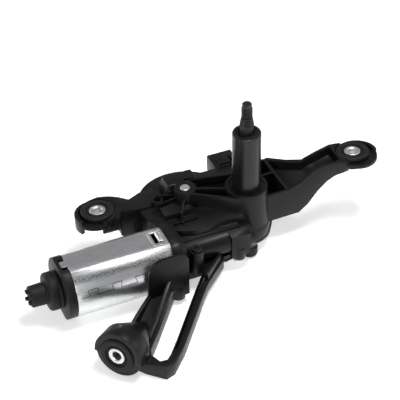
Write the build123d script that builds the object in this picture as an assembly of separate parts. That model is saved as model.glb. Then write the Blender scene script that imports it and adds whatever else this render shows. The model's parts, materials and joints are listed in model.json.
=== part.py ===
from build123d import *
import math
import os

# Rear wiper gear motor: a geared motor with a wiper shaft tower and three rubber-mounted arms.
# Millimetres. +Z runs outwards along the wiper shaft, +X runs along the motor from its rear
# cap towards the gearbox. The origin is on the shaft axis, at the top face of the tower collar.

# ---- running fits and seats ---------------------------------------------------------------
run_gap = 0.03          # radial clearance of a shaft in its bush
seat_gap = 0.02         # radial clearance of a pressed-in piece
air_gap = 0.4           # between pieces that pass each other
soft_gap = 0.3          # around rubber

# ---- wiper shaft tower --------------------------------------------------------------------
sleeve_r = 10.15        # outside of the steel tower sleeve
sleeve_seat_r = 9.85    # its narrower foot, pressed into the housing
collar_recess = 1.0     # depth of the recess in the collar, where the sleeve's shoulder rests
collar_lip = 2.0        # width of the collar's rim round the recess
sleeve_bore_r = 7.0
sleeve_top_z = 46.0
sleeve_foot_z = -20.0
collar_r = 15.0         # moulded collar round the sleeve
collar_foot_r = 16.5
shaft_r = 4.5
cone_base_r = 5.15
cone_top_r = 4.0
thread_r = 3.9
point_r = 3.35
neck_top_z = 51.9
cone_top_z = 58.7
thread_top_z = 67.5
shaft_top_z = 70.1
bush_length = 13.0
ring_thickness = 1.0
ring_groove_depth = 0.6

# ---- motor --------------------------------------------------------------------------------
motor_y = -18.0
motor_z = -28.5
can_r = 22.0
can_flat = 20.0         # height of the flats over the motor axis
can_wall = 1.6
can_gear_x = -70.0      # end of the can at the gearbox
window_half = 5.6       # half the width of the window in the can's top flat
tab_length = 4.0        # folded tab at the rear of the can
can_length = 72.0
end_plate_length = 6.5
cap_r = 13.5
cap_length = 9.5
nub_r = 7.75
nub_length = 11.5
magnet_thickness = 5.0
magnet_length = 44.0
core_r = 14.2
core_length = 36.0
winding_r = 12.2
commutator_r = 7.2
commutator_length = 9.0
rotor_shaft_r = 2.5

# ---- worm drive ---------------------------------------------------------------------------
wheel_teeth = 56
wheel_pitch_r = 30.0
worm_pitch_r = 5.0
worm_length = 32.0
worm_turns = 8             # kept even, so that the middle of the worm meets a gap of the wheel
wheel_face = 9.0
wheel_pin_r = 3.5
wheel_x = -40.0
flank_angle = 15.0
thread_pitch_width = 1.15   # worm thread width at the pitch radius
backlash = 0.56             # total play of the thread in a tooth gap

# ---- crank linkage ------------------------------------------------------------------------
lever_length = 18.0
wipe_angle = 100.0
crank_pin_r = 3.0
lever_pin_r = 3.0
eye_r = 5.2
rod_width = 7.0
rod_thickness = 2.2
lever_thickness = 3.0

# ---- gear housing -------------------------------------------------------------------------
wall = 2.2
roof_z = -13.5          # top of the flat roof over the wheel
housing_foot_z = -41.0
cover_thickness = 1.2
pin_boss_r = 7.9
pin_top_z = -2.0
tunnel_r = 9.4          # outside of the worm tunnel
tunnel_bore_r = 6.7
link_roof_z = -31.0     # top of the low part that houses the rod and lever
screw_r = 2.0
screw_head_r = 3.6
floor_z = -50.5         # the unit lies on this level

# ---- rubber mounts ------------------------------------------------------------------------
grommet_r = 12.3
grommet_height = 9.5
groove_r = 8.8
groove_height = 3.0
plate_thickness = 2.4
bush_outer_r = 5.9
bush_bore_r = 3.25      # clears an M6 bolt
bush_sunk = 0.6
hook_r = 15.0
hook_wall = 2.4
hook_height = 10.0
mount_lean = 4.0        # degrees that the two side mounts lean away
front_heading = 219.0   # degrees from +X to the front arm's own direction
front_rise = 6.0        # degrees that the front eye points down
front_slope_length = 45.0
arm_wall = 2.4
shroud_r = 17.0         # shroud and fairing that carry the front eye
shroud_length = 14.0
fairing_length = 24.0

# ---- inside of the motor and the connector ------------------------------------------------
bearing_r = 5.5         # outside of the three sintered bearings
bearing_length = 4.5
hub_r = 10.2            # hub on the end plate that the rubber cap covers
hub_length = 5.0
magnet_gap = 14.0       # from the magnets to the gearbox end of the can, less the spigot
magnet_half_height = 17.0
winding_length = 6.5
core_slots = 10
commutator_x = -137.0
brush_width = 5.0
brush_height = 4.0
brush_reach = 5.6       # length of a new brush
brush_gap = 0.15
holder_half = 3.6       # half the height of a brush holder
socket_width = 19.0
socket_depth = 17.0
socket_wall = 1.8
socket_x0 = -7.0
socket_z0 = -22.0
socket_z1 = -9.2
pin_count = 4
pin_pitch = 3.6
pin_size = 0.8
pin_setback = 6.0

# ---- screws, buffers and small outlines -----------------------------------------------------
screw_head_height = 2.0
screw_length = 6.2
lug_x = -52.0           # tall lug for the frame screw, in front of the tunnel
lug_y = -31.0
lug_r = 5.0
lug_top_z = -18.0
lug_foot_z = -36.0
frame_screw_length = 11.5
buffer_r = 6.0
buffer_round = 3.0
buffer_places = [(-48.0, -19.0), (-4.5, -16.0), (-61.0, 33.0)]
rib_width = 1.4
cover_lip = 0.8         # how far the cover plate stands out past the housing
plug_r = 6.5            # end plug of the worm tunnel
plug_x = -11.0
tunnel_end_x = -5.0
shoulder_y = 37.0       # back face of the housing, where the connector sits
shoulder_z = -9.0
neck_z = -2.0           # top of the ribs between the pin boss and the collar
switch_z = -6.0         # top of the raised cover over the park switch
flange_length = 6.0
spigot_length = 3.0
ring_z = 41.2           # foot of the groove for the shaft ring
contact_r = 17.0        # middle of the park switch's contact ring
contact_half = 5.0
lever_boss_r = 7.4      # passes inside the rod at both ends of the stroke
contact_thickness = 0.8
crank_pin_depth = 4.9
recess_depth = 3.0      # recess in the top of the worm wheel

# ---- worked-out values --------------------------------------------------------------------
centre_distance = wheel_pitch_r + worm_pitch_r
wheel_y = motor_y + centre_distance
module = 2 * wheel_pitch_r / wheel_teeth
worm_pitch = math.pi * module
lead_angle = math.degrees(math.atan(worm_pitch / (2 * math.pi * worm_pitch_r)))
wheel_tip_r = wheel_pitch_r + module
wheel_root_r = wheel_pitch_r - 1.3 * module
worm_tip_r = worm_pitch_r + 0.95 * module
worm_core_r = worm_pitch_r - 1.3 * module
wheel_z0 = motor_z - wheel_face / 2
wheel_z1 = motor_z + wheel_face / 2
wheel_cavity_r = wheel_tip_r + 0.8
disc_r = wheel_cavity_r + wall
can_rear_x = can_gear_x - can_length
can_top_z = motor_z + can_flat
tab_y0 = motor_y - 2.5
tab_y1 = motor_y + 3.5
plate_rear_x = can_rear_x - end_plate_length
cap_rear_x = plate_rear_x - cap_length
roof_under_z = roof_z - wall

wheel_distance = math.hypot(wheel_x, wheel_y)
crank_r = lever_length * math.sin(math.radians(wipe_angle / 2))
rod_length = math.sqrt(wheel_distance**2 + crank_r**2 - lever_length**2)
wheel_bearing = math.degrees(math.atan2(wheel_y, wheel_x))
reach = crank_r + rod_length
park_offset = math.degrees(
    math.acos((wheel_distance**2 + lever_length**2 - reach**2) / (2 * wheel_distance * lever_length))
)
park_angle = wheel_bearing - park_offset
lever_end = Vector(lever_length, 0, 0).rotate(Axis.Z, park_angle)
wheel_centre = Vector(wheel_x, wheel_y, 0)
rod_bearing = math.degrees(
    math.atan2(lever_end.Y - wheel_centre.Y, lever_end.X - wheel_centre.X)
)
crank_end = wheel_centre + Vector(crank_r, 0, 0).rotate(Axis.Z, rod_bearing)

rod_top_z = wheel_z0 - 1.9
rod_foot_z = rod_top_z - rod_thickness
lever_top_z = rod_foot_z - air_gap
lever_foot_z = lever_top_z - lever_thickness
cover_foot_z = housing_foot_z - cover_thickness

flange_x0 = can_gear_x
flange_x1 = can_gear_x + flange_length
boss_foot_z = rod_top_z + 0.5
contact_z = wheel_z1 - recess_depth
magnet_x1 = can_gear_x - magnet_gap + spigot_length + 1.0
magnet_x0 = magnet_x1 - magnet_length
core_x = (magnet_x0 + magnet_x1) / 2
brush_x = commutator_x + 2.0
socket_x1 = socket_x0 + socket_width
socket_y1 = shoulder_y + socket_depth
pin_z = (socket_z0 + socket_z1) / 2
socket_x = (socket_x0 + socket_x1) / 2
pin_places = [socket_x + pin_pitch * (i - (pin_count - 1) / 2) for i in range(pin_count)]
link_centre = wheel_centre + Vector(rod_length, 0, 0).rotate(Axis.Z, rod_bearing)
link_cavity_r = crank_r + eye_r + 0.8
lever_cavity_r = 14.6
boss_r = screw_head_r + 1.2


def around(centre, reach, angle):
    """Plan point at a distance and an angle from a centre."""
    point = centre + Vector(reach, 0, 0).rotate(Axis.Z, angle)
    return (point.X, point.Y)


screw_places = [
    around(wheel_centre, disc_r + screw_head_r - 1.0, 160),
    around(wheel_centre, disc_r + screw_head_r - 1.0, 93),
    around(link_centre, link_cavity_r + wall + screw_head_r - 1.2, 40),
    (-17.0, -25.0),
    (-60.0, -24.0),
]

CENTRE = Align.CENTER
LOW = Align.MIN


def disc(r, z0, z1, x=0.0, y=0.0):
    """Upright cylinder from z0 to z1."""
    return Pos(x, y, z0) * Cylinder(r, z1 - z0, align=(CENTRE, CENTRE, LOW))


def tube(r_out, r_in, z0, z1, x=0.0, y=0.0):
    return disc(r_out, z0, z1, x, y) - disc(r_in, z0 - 1, z1 + 1, x, y)


def rod_x(r, x0, x1, y=motor_y, z=motor_z):
    """Cylinder along X from x0 to x1, on the motor axis unless told otherwise."""
    return Pos(x0, y, z) * Rot(0, 90, 0) * Cylinder(r, x1 - x0, align=(CENTRE, CENTRE, LOW))


def block(x0, x1, y0, y1, z0, z1):
    return Pos(x0, y0, z0) * Box(x1 - x0, y1 - y0, z1 - z0, align=(LOW, LOW, LOW))


def prism(points, z0, z1):
    """Upright prism over a plan outline."""
    face = make_face(Polyline(*[(x, y, z0) for x, y in points], close=True))
    return extrude(face, amount=z1 - z0, dir=(0, 0, 1))


def side_prism(points, y0, y1):
    """Prism along Y over a side outline of (x, z) points."""
    face = make_face(Polyline(*[(x, y0, z) for x, z in points], close=True))
    return extrude(face, amount=y1 - y0, dir=(0, 1, 0))


def hull_prism(circles, z0, z1):
    """Upright prism over the tight outline round some circles, each (x, y, r)."""
    edges = []
    for x, y, r in circles:
        edges += (Pos(x, y, z0) * Circle(r)).edges()
    return extrude(make_hull(edges), amount=z1 - z0, dir=(0, 0, 1))


def bar(start, end, width, z0, z1):
    """Straight upright rib between two plan points."""
    run = Vector(*end) - Vector(*start)
    turn = math.degrees(math.atan2(run.Y, run.X))
    return (
        Pos(start[0], start[1], z0)
        * Rot(0, 0, turn)
        * Box(run.length, width, z1 - z0, align=(LOW, CENTRE, LOW))
    )


def flatted(r, flat, x0, x1):
    """Cylinder along the motor axis with a flat above and below."""
    slab = block(x0, x1, motor_y - r - 1, motor_y + r + 1, motor_z - flat, motor_z + flat)
    return rod_x(r, x0, x1) & slab


# ---- mounts -------------------------------------------------------------------------------
lean = Rot(-mount_lean, 0, 0)
right_eye = Pos(84.3, -0.5, 5.0) * lean
left_eye = Pos(-102.8, 27.5, -8.0) * lean
front_eye = Pos(-135.0, -90.5, -33.0) * Rot(0, 0, front_heading) * Rot(0, 90 - front_rise, 0)

groove_top = -(grommet_height - groove_height) / 2
groove_foot = groove_top - groove_height
plate_top = groove_top - (groove_height - plate_thickness) / 2
plate_foot = plate_top - plate_thickness
eye_hole_r = groove_r + soft_gap


def grommet():
    outline = tube(grommet_r, bush_outer_r + soft_gap, -grommet_height, 0)
    outer_edges = outline.edges().filter_by(GeomType.CIRCLE).filter_by(
        lambda e: abs(e.radius - grommet_r) < 0.01
    )
    body = fillet(outer_edges, 1.2)
    return body - tube(grommet_r + 1, groove_r, groove_foot, groove_top)


def spacer():
    return tube(bush_outer_r, bush_bore_r, -grommet_height - 0.6, -bush_sunk)


def with_eye(arm, place, offset, start, sweep):
    """Adds a mounting eye: a plate for the grommet's groove, and a hooked wall round part of it."""
    x, y = offset
    arm += place * disc(hook_r, plate_foot, plate_top, x, y)
    hook = tube(hook_r, hook_r - hook_wall, -0.7 - hook_height, -0.7, x, y)
    steps = 8
    fan = [(x, y)]
    for i in range(steps + 1):
        angle = math.radians(start + sweep * i / steps)
        fan.append((x + 3 * hook_r * math.cos(angle), y + 3 * hook_r * math.sin(angle)))
    arm += place * (hook & prism(fan, -hook_height - 2, 1))
    arm -= place * disc(grommet_r + soft_gap, plate_top, 8)
    arm -= place * disc(grommet_r + soft_gap, -grommet_height - 20, plate_foot)
    arm -= place * disc(eye_hole_r, -grommet_height, 2)
    return arm


# ---- gear housing -------------------------------------------------------------------------
def low_outline(grow):
    """Circles that bound the space swept by the wheel, the rod and the lever."""
    return [
        (wheel_x, wheel_y, wheel_cavity_r + grow),
        (link_centre.X, link_centre.Y, link_cavity_r + grow),
        (0, 0, lever_cavity_r + grow),
    ]


neck_back = [(wheel_x + 3.0, wheel_y + 8.5), (2.0, 17.5)]
neck_front = [(wheel_x + 1.0, wheel_y - 7.4), (-9.5, -10.6)]


def foot_mass(grow, z0, z1):
    """The outline shared by the foot of the housing and the cover plate."""
    mass = hull_prism(low_outline(wall + grow), z0, z1)
    mass += prism(
        [
            (-64, 0),
            (-64, -25 - grow),
            (-27, -26 - grow),
            (-16, -23.5 - grow),
            (2, -16.5 - grow),
            (0, 0),
        ],
        z0,
        z1,
    )
    for x, y in screw_places:
        mass += disc(boss_r, z0, z1, x, y)
    return mass


def housing_mass():
    body = disc(disc_r, housing_foot_z, roof_z, wheel_x, wheel_y)
    body += hull_prism(low_outline(wall), housing_foot_z, link_roof_z)
    body += Pos(0, 0, link_roof_z) * Cone(
        collar_foot_r, collar_r, -link_roof_z, align=(CENTRE, CENTRE, LOW)
    )
    # roof in front of the wheel, down to the tunnel
    body += prism([(-64, wheel_y), (-64, -6), (-50, -14.5), (-9, -14.5), (0, 0)], link_roof_z, roof_z)
    # shoulder behind the neck, up to the connector
    shoulder = [(-27, 22), (-27, shoulder_y), (12, shoulder_y), (14, 24), (14, 5)]
    body += prism(shoulder, link_roof_z, shoulder_z)
    # raised cover over the park switch
    body += block(-51.5, -27.0, 22.0, shoulder_y, roof_under_z, switch_z)
    # worm tunnel with a squared top, its end block and the foot flange
    body += rod_x(tunnel_r, flange_x0, tunnel_end_x)
    body += block(flange_x0 + 2, -14.0, motor_y - 2.0, -8.0, motor_z, -18.2)
    body += block(-24.0, -9.5, motor_y - 10.6, -10.0, -38.0, -19.6)
    body += foot_mass(0, housing_foot_z, -36.5)
    # motor flange and the block above it
    body += flatted(can_r + 1.8, can_flat + 0.6, flange_x0, flange_x1)
    body += block(flange_x0 + 1.5, flange_x1 + 4, motor_y - 14, motor_y + 12, motor_z - 8, -11.0)
    # pin boss, neck ribs and roof ribs
    body += disc(pin_boss_r, roof_under_z, pin_top_z, wheel_x, wheel_y)
    body += bar(neck_back[0], neck_back[1], wall, link_roof_z, neck_z)
    body += bar(neck_front[0], neck_front[1], wall, link_roof_z, neck_z)
    body += bar((wheel_x, wheel_y), (0, 0), 1.8, link_roof_z, neck_z - 0.6)
    body += bar((wheel_x, wheel_y), (-51, -3), rib_width, roof_under_z, -6.5)
    body += bar((-62, 2), (-38, 2), rib_width, roof_under_z, -9.5)
    body += block(-61, -38.5, 3, 19, roof_under_z, -11.3)
    for end, top in (((-62, 14), -7.5), ((-60, 24), -7.5), ((-30, 29), -4.6), ((-47, 28), -4.6)):
        body += bar((wheel_x, wheel_y), end, rib_width, roof_under_z, top)
    body += disc(4.2, roof_under_z, -8.6, -60.0, 20.5)
    # screw bosses, and the tall lug for the frame screw
    for x, y in screw_places:
        body += disc(boss_r, housing_foot_z, housing_foot_z + screw_length + 1.8, x, y)
    body += disc(lug_r, lug_foot_z, lug_top_z, lug_x, lug_y)
    body += block(lug_x - lug_r, lug_x + lug_r, lug_y, motor_y, lug_foot_z, lug_top_z - 6.0)
    # the can stands free of it all
    return body - flatted(can_r + soft_gap, can_flat + soft_gap, flange_x0 - 40, flange_x0)


def gear_housing():
    body = housing_mass()
    # inside, from below
    body -= hull_prism(low_outline(0), housing_foot_z - 1, link_roof_z - wall)
    body += disc(collar_foot_r - 1.5, boss_foot_z, sleeve_foot_z)
    body -= disc(wheel_cavity_r, housing_foot_z - 1, roof_under_z, wheel_x, wheel_y)
    body += disc(pin_boss_r - 1.4, wheel_z1 + air_gap, roof_under_z + 0.5, wheel_x, wheel_y)
    # bores and seats
    body -= disc(wheel_pin_r + seat_gap, wheel_z0 - 3, 5, wheel_x, wheel_y)
    body -= disc(sleeve_seat_r + seat_gap, sleeve_foot_z, 5)
    body -= disc(sleeve_bore_r - 0.8, -60, 5)
    body -= disc(collar_r - collar_lip, -collar_recess, 5)
    body -= disc(2.6, -12.5, 0, -60.0, 20.5)
    body -= disc(2.0, -14.8, 5, -63.5, 14.0)
    # tunnel, bearing seats and plug seat
    body -= rod_x(tunnel_bore_r, flange_x1 - 2.0, -14.0)
    body -= rod_x(bearing_r + seat_gap, flange_x0 - 1, flange_x0 + 4.0)
    body -= rod_x(rotor_shaft_r + 0.6, flange_x0 - 1, -10)
    body -= rod_x(bearing_r + seat_gap, -14.5, plug_x)
    body -= rod_x(plug_r + seat_gap, plug_x, tunnel_end_x + 1)
    # spigot that centres the can
    spigot_r = can_r - can_wall - 0.1
    spigot_flat = can_flat - can_wall - 0.1
    spigot = flatted(spigot_r, spigot_flat, flange_x0 - spigot_length, flange_x0)
    body += spigot - flatted(can_r - 4.0, can_flat - 4.0, flange_x0 - 4.0, flange_x0)
    for x, y in screw_places:
        body -= disc(screw_r + seat_gap, housing_foot_z - 1, -35.5, x, y)
    body -= disc(screw_r + seat_gap, lug_top_z - 12.0, lug_top_z + 1, lug_x, lug_y)
    return body


# ---- side arms ----------------------------------------------------------------------------
right_top = [(12, -8), (29, -8), (40, -3.2), (48.5, 3.0), (56, 4.6), (92, 4.3)]
right_foot = [
    (92, -3.6),
    (73, -4.2),
    (67, -6.2),
    (60, -9.5),
    (53, -15.6),
    (45, -25.5),
    (38, -31.0),
    (12, -31.5),
]
right_outer = [
    (10, -9.6),
    (66, -9.6),
    (73, -11.5),
    (84, -10),
    (84, 11),
    (72, 12.8),
    (55, 8.2),
    (47.5, 7.6),
    (40, 18.5),
    (31, 31),
    (10, 35),
]
right_inner = [
    (30, -7.4),
    (66, -7.4),
    (71, -6.0),
    (71, 10.2),
    (55, 5.8),
    (46.3, 5.3),
    (38.2, 17.2),
    (30, 27.8),
]


def dropped(points, drop):
    return [(x, z - drop) for x, z in points]


def right_mount_arm():
    outer = prism(right_outer, -60, 20)
    inner = prism(right_inner, -60, 20)
    shape = side_prism(right_top + right_foot, -20, 40) & outer
    above = side_prism(dropped(right_top, 7.0) + [(92, 30), (12, 30)], -20, 40) & inner
    below = side_prism(dropped(right_top, 9.4) + [(92, -60), (12, -60)], -20, 40) & inner
    arm = shape - above - below
    # two deep pockets beside the collar
    for y0, y1 in ((-7.4, 13.6), (15.6, 30.0)):
        arm -= block(11, 27.8, y0, y1, -28.0, 5.0)
    return with_eye(arm - housing_mass(), right_eye, (2.2, -2.5), -12, 215)


left_top = [(-92, -9.2), (-84, -10.0), (-77, -12.0), (-50, -13.5)]
left_foot = [(-50, -38.0), (-84, -36.0), (-88.5, -31.0), (-91.0, -20.0), (-106, -19.0), (-106, -9.2)]
left_outer = [
    (-104, 12.6),
    (-91, 13.2),
    (-88, 19.8),
    (-60, 19.8),
    (-56, 40),
    (-68, 37.5),
    (-77, 33),
    (-89, 39),
    (-98, 41.5),
    (-106, 40),
]
left_inner = [(-88, 22.0), (-60, 22.0), (-60, 34), (-68, 34.5), (-77, 30.4), (-88, 36)]


def left_mount_arm():
    outer = prism(left_outer, -60, 10)
    inner = prism(left_inner, -60, -15.0)
    arm = (side_prism(left_top + left_foot, 0, 60) & outer) - inner
    return with_eye(arm - housing_mass(), left_eye, (-2.2, -2.5), -70, 280)


# ---- front arm ----------------------------------------------------------------------------
front_outline = [
    (-64.0, -41.0),
    (-93.0, -41.0),
    (-101.0, -52.0),
    (-124.0, -77.0),
    (-122.0, -90.0),
    (-117.0, -97.0),
    (-106.5, -107.0),
    (-100.0, -105.0),
    (-88.0, -92.5),
    (-50.0, -46.5),
    (-31.0, -29.5),
    (-26.0, -20.0),
    (-64.0, -20.0),
]
front_opening = [
    (-74.0, -43.0),
    (-65.0, -36.5),
    (-58.0, -30.5),
    (-46.0, -30.5),
    (-49.0, -34.5),
    (-98.5, -95.2),
    (-102.5, -99.0),
    (-107.5, -98.5),
    (-110.5, -91.0),
    (-109.0, -86.0),
    (-96.0, -70.0),
]
cheek_outline = [
    (-63, -44),
    (-63, -12),
    (-66, -7.5),
    (-83, -7.5),
    (-88, -10),
    (-92, -17),
    (-93, -24),
    (-93, -44),
]
front_root = (-66.0, -41.0)      # where the arm leaves the housing


def front_slab(foot, top):
    """Slab that slopes down along the arm; foot and top are (near, far) heights."""
    near_s, far_s = -60.0, 100.0
    points = [(near_s, foot[0]), (0, foot[0]), (front_slope_length, foot[1]), (far_s, foot[1])]
    points += [(far_s, top[1]), (front_slope_length, top[1]), (0, top[0]), (near_s, top[0])]
    return Pos(front_root[0], front_root[1], 0) * Rot(0, 0, front_heading) * side_prism(points, -80, 80)


def front_mount_arm():
    outline = prism(front_outline, -60, 0) - prism(front_opening, -61, 1)
    arm = outline & front_slab((-44.0, floor_z), (-36.5, -41.0))
    # groove along the long leg
    right_groove = prism([(-46.5, -37.5), (-92.5, -93.5), (-94.8, -91.6), (-48.8, -35.6)], -60, 0)
    arm -= right_groove & front_slab((-40.5, floor_z + 3.0), (-20, -20))
    # outer wall, middle rib and gusset
    arm += bar((-92.0, -42.2), (-122.0, -73.5), arm_wall, floor_z, -30.0) & front_slab(
        (-44.0, floor_z), (-37.5, -34.0)
    )
    arm += bar((-77.0, -42.0), (-108.0, -79.0), arm_wall, floor_z, -24.0) & front_slab(
        (-44.0, floor_z), (-26.0, -34.0)
    )
    arm += bar((-33.0, -27.5), (-50.0, -43.5), arm_wall, -44.0, -31.0) & front_slab(
        (-44.0, floor_z), (-31.0, -48.0)
    )
    # cheek beside the motor, and its foot block
    arm += side_prism(cheek_outline, motor_y - can_r - 3.4, motor_y - can_r - 0.8)
    arm += block(-66.5, -63.0, -43.4, -36.0, -44.0, -12.0)
    arm += disc(5.0, -47.0, -38.0, -70.0, -39.5)
    # hollow fairing behind the eye, then the eye itself, which faces along the arm
    fairing_foot = -shroud_length - fairing_length
    arm += front_eye * Pos(0, 0, fairing_foot) * Cone(
        3.0, shroud_r, fairing_length, align=(CENTRE, CENTRE, LOW)
    )
    arm -= front_eye * Pos(0, 0, fairing_foot) * Cone(
        0.6, shroud_r - arm_wall, fairing_length, align=(CENTRE, CENTRE, LOW)
    )
    arm += front_eye * disc(shroud_r, -shroud_length, -1.5)
    arm -= front_eye * disc(grommet_r + soft_gap, plate_top, 8)
    arm -= front_eye * disc(grommet_r + soft_gap, -shroud_length - 0.5, plate_foot)
    arm -= front_eye * block(2.0, 30, -30, 30, plate_top, 5)
    arm -= front_eye * disc(eye_hole_r, -shroud_length - fairing_length / 2, 5)
    # clear of the motor, of the cover plate and of the level it stands on
    arm -= flatted(can_r + soft_gap, can_flat + 5, -200, can_gear_x)
    arm -= foot_mass(cover_lip + soft_gap, floor_z - 5, housing_foot_z)
    arm -= block(-200, 50, -200, 50, -80, floor_z)
    return arm - housing_mass()


# ---- cover, sleeve and small fixed pieces ---------------------------------------------------
def cover_plate():
    plate = foot_mass(cover_lip, cover_foot_z, housing_foot_z)
    plate -= flatted(can_r + 2.0, can_flat + 1.0, flange_x0 - 1, flange_x1 + soft_gap)
    holes = [disc(screw_r + 0.2, cover_foot_z - 1, housing_foot_z + 1, x, y) for x, y in screw_places]
    return plate - holes


def screw(x, y, seat_z, length, way):
    """Pan-head screw with a cross recess; its shank runs up (way 1) or down (way -1) from the seat."""
    place = Pos(x, y, seat_z) * Rot(0, 0 if way > 0 else 180, 0)
    head = disc(screw_head_r, -screw_head_height, 0)
    shank = disc(screw_r, 0, length)
    recess = Pos(0, 0, -screw_head_height) * (Box(4.4, 0.9, 1.6) + Box(0.9, 4.4, 1.6))
    return place * (head + shank - recess)


def cover_screws():
    return [screw(x, y, cover_foot_z, screw_length, 1) for x, y in screw_places]


def frame_screw():
    return screw(lug_x, lug_y, lug_top_z, frame_screw_length, -1)


def underside_buffers():
    buffers = []
    for x, y in buffer_places:
        foot = disc(buffer_r, floor_z, cover_foot_z, x, y)
        rim = foot.edges().filter_by(GeomType.CIRCLE).sort_by(Axis.Z)[0]
        buffers.append(fillet(rim, buffer_round))
    return buffers


def tower_sleeve():
    sleeve = tube(sleeve_r, sleeve_bore_r, -collar_recess, sleeve_top_z)
    rims = sleeve.edges().filter_by(GeomType.CIRCLE).sort_by(Axis.Z)[-2:]
    sleeve = fillet([rim for rim in rims if rim.radius > sleeve_r - 0.1], 0.9)
    sleeve += tube(sleeve_seat_r, sleeve_bore_r, sleeve_foot_z, -collar_recess)
    return sleeve - disc(sleeve_bore_r + 1.0, sleeve_top_z - 0.8, sleeve_top_z + 1)


def shaft_bush(foot_z):
    return tube(sleeve_bore_r - seat_gap, shaft_r + run_gap, foot_z, foot_z + bush_length)


def upper_bush():
    return shaft_bush(ring_z - 0.15 - bush_length)


def lower_bush():
    return shaft_bush(sleeve_foot_z)


def shaft_seal():
    return tube(sleeve_bore_r - 0.2, shaft_r + soft_gap, ring_z + 1.6, sleeve_top_z - 0.9)


def wheel_pin():
    pin = disc(wheel_pin_r, wheel_z0 - 1.1, pin_top_z + 0.6, wheel_x, wheel_y)
    rim = pin.edges().filter_by(GeomType.CIRCLE).sort_by(Axis.Z)[-1]
    groove = tube(wheel_pin_r + 1, wheel_pin_r - 0.5, wheel_z0 - 0.9, wheel_z0 - 0.1, wheel_x, wheel_y)
    return fillet(rim, 0.5) - groove


def wheel_clip():
    clip = tube(6.0, wheel_pin_r - 0.45, wheel_z0 - 0.85, wheel_z0 - 0.15, wheel_x, wheel_y)
    return clip - block(wheel_x - 1.6, wheel_x + 1.6, wheel_y, wheel_y + 8, wheel_z0 - 2, wheel_z0)


def park_contacts():
    """Three spring fingers that hang from the roof and slide on the contact ring."""
    fingers = []
    for i in range(3):
        x = wheel_x - contact_r + 3.0 * (i - 1)
        y = wheel_y + 4.0
        foot = block(x - 0.9, x + 0.9, y, y + 6.0, roof_under_z - 1.0, roof_under_z)
        leg = block(x - 0.9, x + 0.9, y, y + 0.8, contact_z + contact_thickness + 0.3, roof_under_z)
        fingers.append(foot + leg)
    return fingers


# ---- motor --------------------------------------------------------------------------------
def motor_can():
    can = flatted(can_r, can_flat, can_rear_x, can_gear_x)
    can -= flatted(can_r - can_wall, can_flat - can_wall, can_rear_x - 1, can_gear_x + 1)
    # window at the gearbox end and folded tab at the rear
    y0, y1 = motor_y - window_half, motor_y + window_half
    can -= block(can_gear_x - 9.2, can_gear_x - 4.2, y0, y1, can_top_z - 4, can_top_z + 1)
    tab_x0 = can_rear_x - tab_length
    return can + block(tab_x0, can_rear_x + 1.0, tab_y0, tab_y1, can_top_z - can_wall, can_top_z)


def magnets():
    inner_r = can_r - can_wall - magnet_thickness
    ring = rod_x(can_r - can_wall - 0.05, magnet_x0, magnet_x1)
    ring -= rod_x(inner_r, magnet_x0 - 1, magnet_x1 + 1)
    z0, z1 = motor_z - magnet_half_height, motor_z + magnet_half_height
    near = block(magnet_x0 - 1, magnet_x1 + 1, motor_y - can_r, motor_y - 9.0, z0, z1)
    far = block(magnet_x0 - 1, magnet_x1 + 1, motor_y + 9.0, motor_y + can_r, z0, z1)
    return [ring & near, ring & far]


def brush_holder(side):
    """Open-ended box that guides one brush; side is 1 or -1 across the shaft."""
    middle = (commutator_r + 11.0) / 2 + 4.0
    holder = Pos((can_rear_x + brush_x + brush_width + 1.2) / 2, motor_y + side * middle, motor_z) * Box(
        brush_x + brush_width + 1.2 - can_rear_x, 10.0, 2 * holder_half
    )
    guide = Pos(brush_x + brush_width / 2, motor_y + side * (middle - 1.2), motor_z) * Box(
        brush_width + 0.2, 10.0, brush_height + 0.2
    )
    return holder - guide


def end_plate():
    plate = flatted(can_r, can_flat, plate_rear_x, can_rear_x)
    plug = flatted(can_r - can_wall - 0.1, can_flat - can_wall - 0.1, can_rear_x, can_rear_x + 4.0)
    plate += plug
    plate += rod_x(hub_r, plate_rear_x - hub_length, plate_rear_x)
    plate -= rod_x(15.5, can_rear_x, can_rear_x + 5.0)
    plate += brush_holder(1)
    plate += brush_holder(-1)
    # notch round the folded tab
    notch_x0 = can_rear_x - tab_length - soft_gap
    plate -= block(notch_x0, can_rear_x + 5, tab_y0 - 3.0, tab_y1 + 2.0, can_top_z - 4.5, can_top_z + 1)
    plate -= rod_x(bearing_r + seat_gap, plate_rear_x - hub_length + 1.0, plate_rear_x + 1.0)
    return plate - rod_x(rotor_shaft_r + 0.5, plate_rear_x - hub_length - 1, can_rear_x + 1)


def brushes():
    middle = commutator_r + brush_gap + brush_reach / 2
    brush = Box(brush_width, brush_reach, brush_height)
    return [Pos(brush_x + brush_width / 2, motor_y + side * middle, motor_z) * brush for side in (-1, 1)]


def brush_springs():
    start = commutator_r + brush_gap + brush_reach
    coil = Cylinder(1.7, 3.0, align=(CENTRE, CENTRE, LOW)) - Cylinder(1.1, 9)
    return [
        Pos(brush_x + brush_width / 2, motor_y + side * start, motor_z) * Rot(-90 * side, 0, 0) * coil
        for side in (-1, 1)
    ]


def plain_bearing(x0, length):
    bush = rod_x(bearing_r, x0, x0 + length)
    return bush - rod_x(rotor_shaft_r + run_gap, x0 - 1, x0 + length + 1)


def rear_bearing():
    return plain_bearing(plate_rear_x - hub_length + 1.0, bearing_length + 0.5)


def front_bearing():
    return plain_bearing(flange_x0 - 0.5, bearing_length)


def worm_end_bush():
    return plain_bearing(plug_x - 3.5, 3.4)


def worm_end_plug():
    plug = rod_x(plug_r, plug_x, tunnel_end_x)
    return plug - rod_x(3.2, tunnel_end_x - 2.5, tunnel_end_x + 1)


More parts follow.
